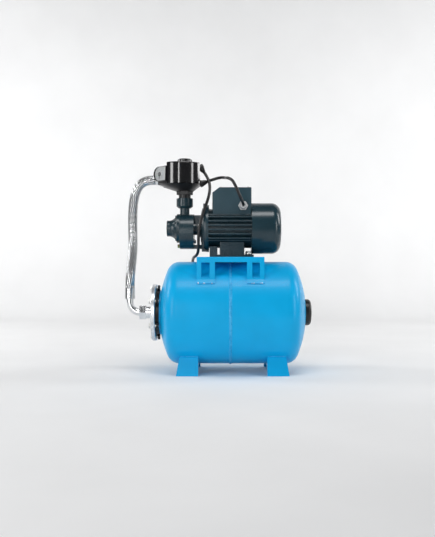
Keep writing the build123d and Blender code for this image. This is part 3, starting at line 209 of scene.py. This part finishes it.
zinc = finish("zinc", (0.7, 0.69, 0.66), (0.88, 0.87, 0.84), 0.33, metallic=0.85, patch=120,
              grain=1400, depth=0.00005)
chrome = finish("chrome", (0.7, 0.71, 0.73), (0.85, 0.86, 0.87), 0.12, metallic=1.0, patch=40,
                grain=300, depth=0.00002)
ferrule = finish("ferrule", (0.6, 0.61, 0.62), (0.78, 0.79, 0.8), 0.2, metallic=1.0, patch=60,
                 grain=900, depth=0.00003, stretch=(1, 1, 0.15))
# its near-black colour is painted shade, laid between the braid's strands
wire_braid = finish("wire_braid", (0.015, 0.015, 0.016), (0.84, 0.85, 0.86), 0.22, metallic=0.9,
                    patch=200, grain=1200, depth=0.00003)
brass = finish("brass", (0.5, 0.33, 0.1), (0.66, 0.46, 0.17), 0.28, metallic=1.0, patch=60,
               grain=1000, depth=0.00004)
steel = finish("steel", (0.36, 0.36, 0.37), (0.5, 0.5, 0.51), 0.26, metallic=1.0, patch=60,
               grain=700, depth=0.00004, stretch=(0.2, 1, 1))
lamination = finish("lamination", (0.12, 0.12, 0.13), (0.2, 0.2, 0.21), 0.45, metallic=0.8,
                    patch=30, grain=500, depth=0.00008)
copper = finish("copper", (0.3, 0.1, 0.04), (0.5, 0.2, 0.09), 0.35, metallic=0.8, patch=90,
                grain=600, depth=0.0003, stretch=(0.3, 1, 1))
ceramic = finish("ceramic", (0.66, 0.65, 0.6), (0.78, 0.77, 0.72), 0.2, patch=60, grain=900,
                 depth=0.00002)
rubber = finish("rubber", (0.012, 0.012, 0.012), (0.022, 0.022, 0.022), 0.55, patch=60, grain=900,
                depth=0.00008)
sheath = finish("sheath", (0.004, 0.004, 0.0045), (0.009, 0.009, 0.01), 0.34, patch=90, grain=1400,
                depth=0.00004)
board = finish("board", (0.01, 0.09, 0.035), (0.02, 0.14, 0.055), 0.35, patch=120, grain=900,
               depth=0.0001)
capacitor = finish("capacitor", (0.6, 0.6, 0.57), (0.7, 0.7, 0.67), 0.35, patch=50, grain=1200,
                   depth=0.00003)
button_red = finish("button_red", (0.3, 0.02, 0.015), (0.42, 0.035, 0.025), 0.35, patch=90,
                    grain=1500, depth=0.00004)
dial_face = finish("dial_face", (0.36, 0.37, 0.37), (0.46, 0.47, 0.47), 0.4, patch=90, grain=2000,
                   depth=0.00001)
ink = finish("ink", (0.02, 0.02, 0.02), (0.045, 0.045, 0.045), 0.5, patch=200, grain=2500,
             depth=0.00001)
lamp_lens = finish("lamp_lens", (0.02, 0.2, 0.05), (0.05, 0.3, 0.09), 0.15, patch=200, grain=900,
                   depth=0.00001)
# pale metal that stands in for the highlights on the tack welds: a painted highlight
weld_glint = finish("weld_glint", (0.45, 0.55, 0.62), (0.75, 0.82, 0.86), 0.35, metallic=0.5,
                   patch=150, grain=900, depth=0.0001)
ripple(weld_blue, "X", 0.0035, 0.0002)
braid(wire_braid, 0.03, 15, 0.0003)

# black on the shell past the painted neck: partly the membrane's rubber lip, partly painted shade
# in the gap between the flange and the painted neck
NECK_EDGE = -0.1985
NECK_BLUR = 0.0004
LIP_AND_SHADE_BLACK = (0.01, 0.01, 0.011, 1)
masked = tank_blue.material.copy()
masked.name = "tank_blue_lip_and_shade"
tree = masked.node_tree
shader = tree.nodes["Principled BSDF"]
split = tree.nodes.new("ShaderNodeSeparateXYZ")
coordinates = next(node for node in tree.nodes if node.type == "TEX_COORD")
tree.links.new(coordinates.outputs["Object"], split.inputs["Vector"])
edge = tree.nodes.new("ShaderNodeMapRange")
edge.inputs["From Min"].default_value = NECK_EDGE - NECK_BLUR
edge.inputs["From Max"].default_value = NECK_EDGE + NECK_BLUR
tree.links.new(split.outputs["X"], edge.inputs["Value"])
mix = tree.nodes.new("ShaderNodeMix")
mix.data_type = "RGBA"
# black past the neck's edge: the rubber lip and painted shade
mix.inputs[6].default_value = LIP_AND_SHADE_BLACK
tree.links.new(edge.outputs["Result"], mix.inputs[0])
tree.links.new(shader.inputs["Base Color"].links[0].from_socket, mix.inputs[7])
tree.links.new(mix.outputs[2], shader.inputs["Base Color"])

window = Nodes("window")
window.shader.inputs["Base Color"].default_value = (0.93, 0.96, 0.97, 1)
window.shader.inputs["Transmission Weight"].default_value = 1.0
window.shader.inputs["IOR"].default_value = 1.02
window.shader.inputs["Alpha"].default_value = 0.35
window.link(window.spread(window.noise(300), 0.02, 0.07), window.shader.inputs["Roughness"])

# finish, and the CAD nodes that wear it
for made, names in (
    (tank_blue, "tank_left_shell tank_right_shell left_foot right_foot pump_platform"),
    (weld_blue, "tank_weld_bead"),
    (cast_paint, "suction_cover pump_casing lantern_bracket motor_housing rear_shield motor_foot"),
    (cast_paint, "tie_rods casing_bolts cover_bolts fan_cover_screws"),
    (sheet_paint, "fan_cover"),
    (box_plastic, "terminal_box terminal_box_lid"),
    (case_gloss, "controller_cover outlet_cap"),
    (case_satin, "controller_lower_case controller_valve_body controller_glands"),
    (case_satin, "air_valve_cover mains_plug terminal_block fan check_valve_poppet gauge_needle"),
    (gland_grey, "box_gland"),
    (galvanised, "tank_flange"),
    (zinc, "flange_bolts foot_bolts terminal_box_screws"),
    (chrome, "union_nuts tank_elbow hose_tail flange_nipple"),
    (ferrule, "hose_ferrules"),
    (brass, "impeller air_valve_stem drain_plug"),
    (steel, "shaft motor_bearings"),
    (lamination, "stator_core rotor_core"),
    (copper, "stator_windings"),
    (ceramic, "seal_seat seal_ring"),
    (rubber, "membrane"),
    (board, "circuit_board"),
    (capacitor, "run_capacitor"),
    (button_red, "reset_button"),
    (dial_face, "gauge_dial"),
    (window, "gauge_lens"),
):
    for name in names.split():
        for material_slot in NODES[name].material_slots:
            material_slot.material = made.material
for material_slot in NODES["tank_left_shell"].material_slots:
    material_slot.material = masked


# ---- making pieces ----
def piece(name, mesh, made, body=BASE, smooth=True):
    """Adds a finished mesh that rides on a body, in the given finish."""
    for face in mesh.polygons:
        face.use_smooth = smooth
    mesh.materials.append(made.material)
    thing = bpy.data.objects.new(name, mesh)
    bpy.context.collection.objects.link(thing)
    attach(thing, body)
    return thing


def mesh_of(name, shape):
    """Turns a bmesh into a mesh, with its normals outward."""
    bmesh.ops.recalc_face_normals(shape, faces=shape.faces)
    mesh = bpy.data.meshes.new(name)
    shape.to_mesh(mesh)
    shape.free()
    return mesh


def spun(shape, profile, place, steps=48):
    """Adds a ring to shape, from a closed profile of (radius, height) pairs, where place says."""
    rings = []
    for step in range(steps):
        turn = 2 * math.pi * step / steps
        spots = [Vector((r * math.cos(turn), r * math.sin(turn), h)) for r, h in profile]
        rings.append([shape.verts.new(place @ spot) for spot in spots])
    count = len(profile)
    for one, two in zip(rings, rings[1:] + rings[:1]):
        for i in range(count):
            shape.faces.new((one[i], two[i], two[(i + 1) % count], one[(i + 1) % count]))


def round_band(radius, width, height=0.0, sides=10, flat=1.0):
    """The profile of a band of round section, flattened across by flat."""
    turns = [2 * math.pi * i / sides for i in range(sides)]
    return [(radius + flat * width * math.cos(t), height + width * math.sin(t)) for t in turns]


def along_axis(point, axis):
    """Places a shape drawn round +Z so that it stands on point and points along axis."""
    turn = Vector(axis).to_track_quat("Z", "Y").to_matrix().to_4x4()
    return Matrix.Translation(Vector(point)) @ turn


def weld(shape, start, end, radius, pitch):
    """A row of overlapping drops from start to end, as a welder lays them."""
    start, end = Vector(start), Vector(end)
    steps = max(1, round((end - start).length / pitch))
    for step in range(steps + 1):
        size = radius * (1 + 0.12 * math.sin(2.4 * step))
        where = Matrix.Translation(start.lerp(end, step / steps))
        where = where @ Matrix.Diagonal((size * 1.15, size, size, 1))
        bmesh.ops.create_icosphere(shape, subdivisions=2, radius=1.0, matrix=where)


# ---- cords ----
def line_of(name, route):
    """A smooth curve with the route's points, given in millimetres, as its control points."""
    curve = bpy.data.curves.new(name, "CURVE")
    curve.dimensions = "3D"
    spline = curve.splines.new("NURBS")
    spline.points.add(len(route) - 1)
    for point, place in zip(spline.points, route):
        point.co = (place[0] * MM, place[1] * MM, place[2] * MM, 1)
    spline.order_u = 3
    spline.use_endpoint_u = True
    spline.resolution_u = 6
    thing = bpy.data.objects.new(name, curve)
    bpy.context.collection.objects.link(thing)
    return thing


def path_of(route):
    """The points of the smooth curve itself."""
    thing = line_of("path", route)
    depsgraph = bpy.context.evaluated_depsgraph_get()
    mesh = bpy.data.meshes.new_from_object(thing.evaluated_get(depsgraph))
    points = [vertex.co.copy() for vertex in mesh.vertices]
    bpy.data.meshes.remove(mesh)
    bpy.data.objects.remove(thing)
    return points


def tube_mesh(name, points, radius, sides=32):
    """A tube round a line of points, with UVs in metres along it and turns round it."""
    shape = bmesh.new()
    uv = shape.loops.layers.uv.new("UVMap")
    rings, gone = [], [0.0]
    turns = [2 * math.pi * k / sides for k in range(sides)]
    heading = (points[1] - points[0]).normalized()
    side = heading.orthogonal().normalized()
    for i, point in enumerate(points):
        ahead = (points[min(i + 1, len(points) - 1)] - points[max(i - 1, 0)]).normalized()
        side = (heading.rotation_difference(ahead) @ side).normalized()
        heading = ahead
        other = heading.cross(side)
        spots = [point + radius * (math.cos(t) * side + math.sin(t) * other) for t in turns]
        rings.append([shape.verts.new(spot) for spot in spots])
        if i:
            gone.append(gone[-1] + (point - points[i - 1]).length)
    for i, (one, two) in enumerate(zip(rings, rings[1:])):
        for k in range(sides):
            face = shape.faces.new((one[k], one[(k + 1) % sides], two[(k + 1) % sides], two[k]))
            places = ((gone[i], k), (gone[i], k + 1), (gone[i + 1], k + 1), (gone[i + 1], k))
            for loop, (u, v) in zip(face.loops, places):
                loop[uv].uv = (u, v / sides)
    for ring in (rings[0], rings[-1]):
        shape.faces.new(ring)
    return mesh_of(name, shape)


HOSE_R = 13.0
CABLE_R = 4.0

hose_route = [
    (-213, 8, 530), (-231, 8, 530), (-250, 8.5, 523.6), (-263.5, 10.5, 509.5), (-271.5, 14.5, 491),
    (-277, 22, 467), (-280, 30.5, 439), (-281, 37, 407), (-280.5, 37.5, 374), (-279.5, 31, 343),
    (-280.5, 20.5, 312), (-282.5, 9, 281), (-283.4, 0, 252), (-283.4, 0, 230),
]
hose_path = path_of(hose_route)
hose_mesh = tube_mesh("hose_braided", hose_path, HOSE_R * MM, 48)
hose = piece("hose_braided", hose_mesh, wire_braid)
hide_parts("hose")

# these points came out of a numerical search fitted to the photograph, not from a choice by
# hand, and aren't the ones that part.py has
jumper_route = [
    (-71, -14, 523), (-56, -15.6, 528.3), (-32, -27.5, 533.5), (-18, -49, 529.5),
    (-16.5, -72.5, 526.5), (-13.5, -94.5, 524), (-1.5, -111.5, 516.5), (7.5, -122, 499),
    (17.5, -119, 476), (25.5, -102.5, 460), (28.6, -79, 454.5), (28.6, -65, 454.5),
]
jumper_path = path_of(jumper_route)
jumper_mesh = tube_mesh("jumper_lead", jumper_path, CABLE_R * MM, 20)
jumper = piece("jumper_lead", jumper_mesh, sheath)
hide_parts("jumper_cable")

lead_route = [
    (-79.2, -15.4, 550.4), (-68.4, -21.8, 534.8), (-61.5, -34, 512.5), (-62, -47, 490),
    (-68, -55, 466), (-76.5, -60, 442), (-85, -62.5, 417), (-90.5, -62.5, 391), (-92, -59, 365),
    (-92, -50, 341.5), (-94.5, -33.5, 325.5), (-101.5, -11.5, 318.5), (-107.5, 12, 316),
    (-111, 36.5, 310.5), (-113, 60, 303), (-115, 83, 291.5), (-117.5, 105.5, 275),
    (-120, 125, 252.5), (-122.5, 140.5, 224.5), (-124.5, 151, 192.5), (-126.5, 157, 158),
    (-128, 159.5, 123), (-129.5, 160.5, 90), (-130.5, 166, 62), (-131.5, 177.5, 37),
    (-133, 194, 18), (-135.5, 215, 6.5), (-139, 240, 4), (-143, 264, 4), (-146.5, 284, 4),
    (-150, 303, 4), (-152.5, 319, 4),
]
COIL_X, COIL_Y, COIL_R = -104, 332, 48.5
STEPS_PER_TURN = 16
COIL_STEPS = 36


def smooth(value, start, end):
    """0 before start, 1 after end, and an easy change between them."""
    share = min(1, max(0, (value - start) / (end - start)))
    return share * share * (3 - 2 * share)


# the second turn steps inside the first, and the last part lies on top of them
for step in range(1, COIL_STEPS + 1):
    turn = step / STEPS_PER_TURN
    radius = COIL_R - 8 * smooth(turn, 0.78, 1.0) + 4 * smooth(turn, 1.66, 1.85)
    height = CABLE_R + 8 * smooth(turn, 1.5, 1.78) - 0.6 * smooth(turn, 2.0, 2.2)
    angle = math.pi - 2 * math.pi * turn
    x, y = COIL_X + radius * math.cos(angle), COIL_Y + radius * math.sin(angle)
    lead_route.append((x, y, height))
lead_route += [(-90, 377.5, 13.5), (-76, 379, 16), (-70, 379, 16)]
lead_path = path_of(lead_route)
lead_mesh = tube_mesh("lead_with_coil", lead_path, CABLE_R * MM, 16)
lead = piece("lead_with_coil", lead_mesh, sheath)
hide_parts("mains_lead", "mains_lead_coil")


# ---- small details ----
def bar(shape, place, size):
    """A straight bar of the given size, centred where place says."""
    bmesh.ops.create_cube(shape, size=1.0, matrix=place @ Matrix.Diagonal((*size, 1)))


# dial: a ring round the hub and seven marks
GAUGE_CENTRE = (-0.202, -0.036, 0.5415)
GAUGE_AXIS = (-1, -1, 0)
DIAL_DEPTH = 0.0038
MARK_COUNT = 7
FIRST_MARK, MARK_STEP = -30, 40  # degrees
MARK_RADIUS = 0.0118
MARK_SIZE = (0.0026, 0.0009, 0.00012)
dial = along_axis(GAUGE_CENTRE, GAUGE_AXIS) @ Matrix.Translation((0, 0, -DIAL_DEPTH))
marks = bmesh.new()
spun(marks, round_band(0.005, 0.00012, 0.00004, flat=9.0), dial)
for step in range(MARK_COUNT):
    turned = dial @ Matrix.Rotation(math.radians(FIRST_MARK + MARK_STEP * step), 4, "Z")
    bar(marks, turned @ Matrix.Translation((MARK_RADIUS, 0, MARK_SIZE[2] / 2)), MARK_SIZE)
piece("dial_marks", mesh_of("dial_marks", marks), ink, smooth=False)

# painted beads where the feet and the platform's strips meet the tank
FOOT_BEAD_X = (0.093, 0.139)
FOOT_BEAD_Y, FOOT_BEAD_Z = 0.0845, 0.0512
STRIPS_X = ((-0.095, -0.047), (0.037, 0.083))
STRIP_BEAD_Y, STRIP_BEAD_Z = 0.1149, 0.2447
END_GAP = 0.001
beads = bmesh.new()
for side in (-1, 1):
    for way in (-1, 1):
        start, end = [(side * x, way * FOOT_BEAD_Y, FOOT_BEAD_Z) for x in FOOT_BEAD_X]
        weld(beads, start, end, 0.0016, 0.0026)
for low, high in STRIPS_X:
    for way in (-1, 1):
        start = (low + END_GAP, way * STRIP_BEAD_Y, STRIP_BEAD_Z)
        end = (high - END_GAP, way * STRIP_BEAD_Y, STRIP_BEAD_Z)
        weld(beads, start, end, 0.0013, 0.0024)
piece("weld_beads", mesh_of("weld_beads", beads), weld_blue)

# tacks along the strips, pale metal as a painted highlight on each bead: where each is along the
# tank, and its height as a multiple
TACKS = (
    (-0.0905, 2.4), (-0.0765, 1.0), (-0.0735, 1.2), (-0.0545, 1.5),
    (0.05, 1.0), (0.055, 1.4), (0.0725, 1.0), (0.0765, 1.5),
)
TACK_Y, TACK_Z = 0.1157, 0.2462
TACK_LONG, TACK_DEEP = 0.0014, 0.0012
tacks = bmesh.new()
for x, tall in TACKS:
    for way in (-1, 1):
        where = Matrix.Translation((x, way * TACK_Y, TACK_Z))
        where = where @ Matrix.Diagonal((TACK_LONG, TACK_DEEP, TACK_DEEP * tall, 1))
        bmesh.ops.create_icosphere(tacks, subdivisions=2, radius=1.0, matrix=where)
piece("tack_welds", mesh_of("tack_welds", tacks), weld_glint)

# controller top: four screws and three lamps
CASE_TOP = 0.573
SCREWS = ((-0.169, -0.042), (-0.167, 0.031), (-0.099, 0.031), (-0.098, -0.035))
SCREW_HEAD = (
    (0.0012, 0.0004), (0.0014, 0.0016), (0.0028, 0.0012), (0.0034, 0.0), (0.0012, -0.0004),
)
LAMPS = ((-0.122, -0.044), (-0.131, -0.046), (-0.14, -0.047))
LAMP_DOME = (
    (0.0001, 0.0012), (0.0012, 0.001), (0.0018, 0.0004), (0.0019, -0.0004), (0.0001, -0.0004),
)


def on_case_top(name, profile, places):
    """The same small turned shape at each of the places on the controller's top."""
    shape = bmesh.new()
    for x, y in places:
        spun(shape, profile, Matrix.Translation((x, y, CASE_TOP)), 24)
    return mesh_of(name, shape)


piece("case_screws", on_case_top("case_screws", SCREW_HEAD, SCREWS), zinc)
piece("lamp_lenses", on_case_top("lamp_lenses", LAMP_DOME, LAMPS), lamp_lens)

# the suction port's thread, as plain rings
THREAD_START = (-0.1795, 0, 0.395)
THREAD_RINGS = 6
THREAD_PITCH = 0.0023
THREAD_RADIUS, THREAD_WIDTH = 0.0153, 0.0008
bore = along_axis(THREAD_START, (1, 0, 0))
thread = bmesh.new()
for ring in range(THREAD_RINGS):
    crest = round_band(THREAD_RADIUS, THREAD_WIDTH, THREAD_PITCH * ring, sides=8)
    spun(thread, crest, bore, 64)
piece("port_thread", mesh_of("port_thread", thread), cast_paint)

# the tie that holds the coil: a band round the bundle, and its buckle
TIE_TURN = math.radians(135)
TIE_INNER, TIE_OUTER = 0.0384, 0.0496
TIE_LOW, TIE_HIGH = 0.0031, 0.0136
BAND_INSIDE, BAND_OUTSIDE, BAND_HALF = 0.0018, 0.003, 0.0017
BUCKLE_AT, BUCKLE_SIZE = (0.044, 0, 0.0172), (0.006, 0.0052, 0.0034)
tie = bmesh.new()
tie_place = Matrix.Translation((COIL_X * MM, COIL_Y * MM, 0)) @ Matrix.Rotation(TIE_TURN, 4, "Z")
turning_points = (
    (TIE_OUTER, TIE_HIGH), (TIE_INNER, TIE_HIGH), (TIE_INNER, TIE_LOW), (TIE_OUTER, TIE_LOW),
)
band_section = (
    (BAND_OUTSIDE, -BAND_HALF), (BAND_OUTSIDE, BAND_HALF),
    (BAND_INSIDE, BAND_HALF), (BAND_INSIDE, -BAND_HALF),
)
rings = []
for corner, (r, z) in enumerate(turning_points):
    for k in range(5):
        lean = math.radians(90 * corner + 22.5 * k)
        out, up = math.cos(lean), math.sin(lean)
        spots = [Vector((r + reach * out, wide, z + reach * up)) for reach, wide in band_section]
        rings.append([tie.verts.new(tie_place @ spot) for spot in spots])
for one, two in zip(rings, rings[1:] + rings[:1]):
    for k in range(4):
        tie.faces.new((one[k], two[k], two[(k + 1) % 4], one[(k + 1) % 4]))
bar(tie, tie_place @ Matrix.Translation(BUCKLE_AT), BUCKLE_SIZE)
piece("coil_tie", mesh_of("coil_tie", tie), case_satin, smooth=False)

# ---- world, lights and backdrop ----
WORLD_COLOUR = (0.93, 0.96, 1.0, 1)
WORLD_STRENGTH = 0.13
FLOOR_FRONT, FLOOR_BACK = -4.0, 1.9
BEND_RADIUS = 0.5
WALL_TOP = 4.5
HALF_WIDTH = 7.0

world = bpy.data.worlds.new("studio")
bpy.context.scene.world = world
world.use_nodes = True
world.node_tree.nodes["Background"].inputs["Color"].default_value = WORLD_COLOUR
world.node_tree.nodes["Background"].inputs["Strength"].default_value = WORLD_STRENGTH


def soft_light(name, place, target, size, power):
    data = bpy.data.lights.new(name, "AREA")
    data.shape = "RECTANGLE"
    data.size, data.size_y = size
    data.energy = power
    light = bpy.data.objects.new(name, data)
    bpy.context.collection.objects.link(light)
    light.location = place
    aim(light, target)


soft_light("left_softbox", (-1.6, -1.5, 0.7), (0, 0, 0.3), (0.45, 1.3), 13)
soft_light("front_strip", (-0.5, -2.2, 0.6), (0, 0, 0.35), (0.16, 1.3), 7)
soft_light("top_softbox", (0.1, -0.7, 1.9), (0, 0, 0.25), (1.1, 0.5), 12)
soft_light("right_softbox", (1.7, -1.2, 0.7), (0, 0, 0.3), (0.35, 1.3), 9)
soft_light("backdrop_left", (-2.2, 0.4, 1.4), (-0.7, 2.2, 0.7), (1.0, 1.2), 34)
soft_light("backdrop_right", (2.2, 0.4, 1.4), (0.7, 2.2, 0.7), (1.0, 1.2), 34)

pale = Nodes("pale_paper")
pale.colour(pale.noise(3), (0.86, 0.86, 0.86), (0.9, 0.9, 0.9))
pale.shader.inputs["Roughness"].default_value = 0.9
sweep = bmesh.new()
profile = [(FLOOR_FRONT, 0.0), (FLOOR_BACK, 0.0)]
for step in range(1, 7):
    bend = math.radians(15 * step)
    back = FLOOR_BACK + BEND_RADIUS * math.sin(bend)
    profile.append((back, BEND_RADIUS - BEND_RADIUS * math.cos(bend)))
profile.append((FLOOR_BACK + BEND_RADIUS, WALL_TOP))
edges = [[sweep.verts.new((x, y, z)) for y, z in profile] for x in (-HALF_WIDTH, HALF_WIDTH)]
for i in range(len(profile) - 1):
    sweep.faces.new((edges[0][i], edges[1][i], edges[1][i + 1], edges[0][i + 1]))
backdrop = bpy.data.objects.new("backdrop", mesh_of("backdrop", sweep))
bpy.context.collection.objects.link(backdrop)
for face in backdrop.data.polygons:
    face.use_smooth = True
backdrop.data.materials.append(pale.material)
